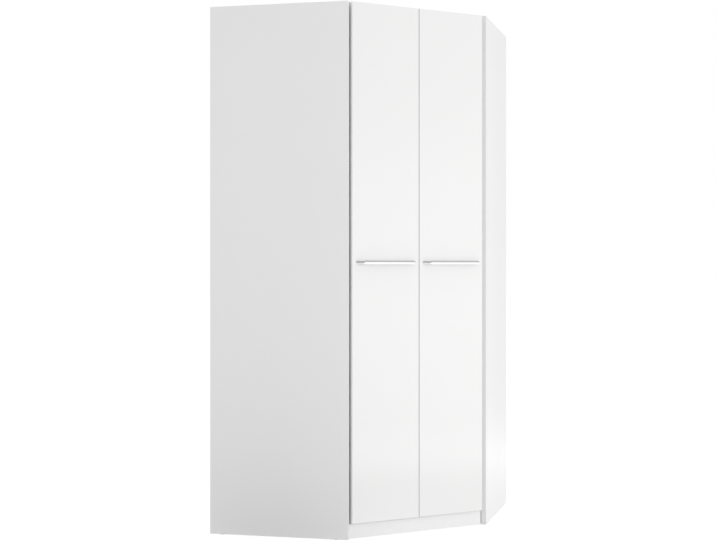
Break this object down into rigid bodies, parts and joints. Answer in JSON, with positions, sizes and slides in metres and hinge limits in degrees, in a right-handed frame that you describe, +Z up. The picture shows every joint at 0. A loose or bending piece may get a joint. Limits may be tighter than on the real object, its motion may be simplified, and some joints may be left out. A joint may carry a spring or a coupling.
{
  "type": "corner wardrobe",
  "caption": "Tall corner wardrobe with gloss doors across the corner on concealed hinges, horizontal bow handles, a recessed plinth, and a hat shelf and clothes rail inside.",
  "frame": {"origin": "on the floor, in the middle of the box that bounds the wardrobe with its doors shut", "axes": "-Y is the front, +X is to the right as seen by someone facing the doors, +Z is up"},
  "size_m": [1.3436, 1.0724, 1.93],
  "materials": {
    "white_board": "white melamine-faced chipboard, satin",
    "gloss_front": "white high-gloss foil on board",
    "back_board": "white lacquered thin hardboard",
    "chrome": "bright chrome plating",
    "plated_steel": "nickel-plated pressed steel",
    "white_plastic": "white moulded plastic",
    "soft_plastic": "soft translucent bumper plastic"
  },
  "bodies": {
    "carcass": {"bottom_board": "white_board", "clothes_rail": "chrome", "corner_glide": "white_plastic", "corner_shelf_peg": "plated_steel", "hat_shelf": "white_board", "left_back_board_inner": "back_board", "left_back_board_outer": "back_board", "left_back_joint_strip": "white_plastic", "left_front_glide": "white_plastic", "left_front_shelf_peg": "plated_steel", "left_lower_hinge_arm": "plated_steel", "left_lower_hinge_plate": "plated_steel", "left_middle_hinge_arm": "plated_steel", "left_middle_hinge_plate": "plated_steel", "left_rail_support": "chrome", "left_rear_glide": "white_plastic", "left_rear_shelf_peg": "plated_steel", "left_side_panel": "white_board", "left_upper_hinge_arm": "plated_steel", "left_upper_hinge_plate": "plated_steel", "left_wall_bracket": "plated_steel", "middle_glide": "white_plastic", "plinth": "white_board", "plinth_stretcher": "white_board", "rear_corner_post": "white_board", "right_back_board_inner": "back_board", "right_back_board_outer": "back_board", "right_back_joint_strip": "white_plastic", "right_front_glide": "white_plastic", "right_front_shelf_peg": "plated_steel", "right_lower_hinge_arm": "plated_steel", "right_lower_hinge_plate": "plated_steel", "right_middle_hinge_arm": "plated_steel", "right_middle_hinge_plate": "plated_steel", "right_rail_support": "chrome", "right_rear_glide": "white_plastic", "right_rear_shelf_peg": "plated_steel", "right_side_panel": "white_board", "right_upper_hinge_arm": "plated_steel", "right_upper_hinge_plate": "plated_steel", "right_wall_bracket": "plated_steel", "top_board": "white_board"},
    "left_door": {"left_door": "gloss_front", "left_door_buffer": "soft_plastic", "left_handle": "chrome", "left_lower_hinge_cup": "plated_steel", "left_lower_hinge_pin": "plated_steel", "left_middle_hinge_cup": "plated_steel", "left_middle_hinge_pin": "plated_steel", "left_upper_hinge_cup": "plated_steel", "left_upper_hinge_pin": "plated_steel"},
    "right_door": {"right_door": "gloss_front", "right_door_buffer": "soft_plastic", "right_handle": "chrome", "right_lower_hinge_cup": "plated_steel", "right_lower_hinge_pin": "plated_steel", "right_middle_hinge_cup": "plated_steel", "right_middle_hinge_pin": "plated_steel", "right_upper_hinge_cup": "plated_steel", "right_upper_hinge_pin": "plated_steel"}
  },
  "joints": [
    {"name": "left_door_swing", "type": "hinge", "parent": "carcass", "child": "left_door", "pos_m": [-0.27668, -0.49573, 0.965], "axis": [0, 0, -1], "range_deg": [0, 95]},
    {"name": "right_door_swing", "type": "hinge", "parent": "carcass", "child": "right_door", "pos_m": [0.27668, -0.49573, 0.965], "axis": [0, 0, 1], "range_deg": [0, 95]}
  ]
}
